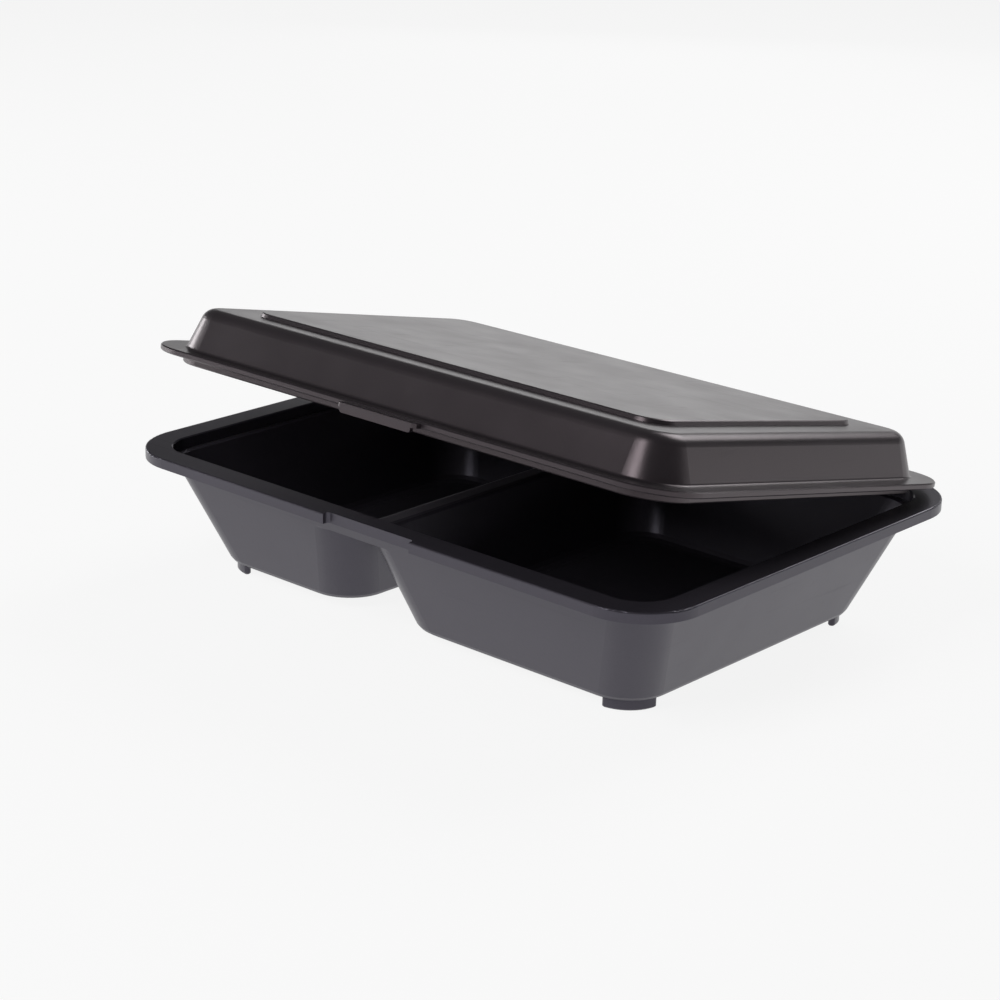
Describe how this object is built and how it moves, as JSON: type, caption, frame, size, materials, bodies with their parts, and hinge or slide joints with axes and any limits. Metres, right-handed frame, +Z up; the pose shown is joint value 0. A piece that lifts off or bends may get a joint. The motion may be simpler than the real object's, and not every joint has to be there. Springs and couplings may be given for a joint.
{
  "type": "hinged two-compartment food container",
  "caption": "Reusable take-away meal box with two deep compartments, stacking feet and a hinged domed lid with a raised top panel.",
  "frame": {"origin": "on the table under the middle of the box, counted with its hinges", "axes": "+X along the hinge from the small compartment to the large one, +Y from the latch to the hinge, +Z up"},
  "size_m": [0.229, 0.1714, 0.0901],
  "materials": {
    "tray_plastic": "satin",
    "lid_plastic": "satin"
  },
  "bodies": {
    "base": {"tray": "tray_plastic"},
    "cover": {"lid": "lid_plastic"}
  },
  "joints": [
    {"name": "lid_hinge", "type": "hinge", "parent": "base", "child": "cover", "pos_m": [0, 0.08273, 0.04365], "axis": [-1, 0, 0], "range_deg": [-11.8, 168.2]}
  ]
}
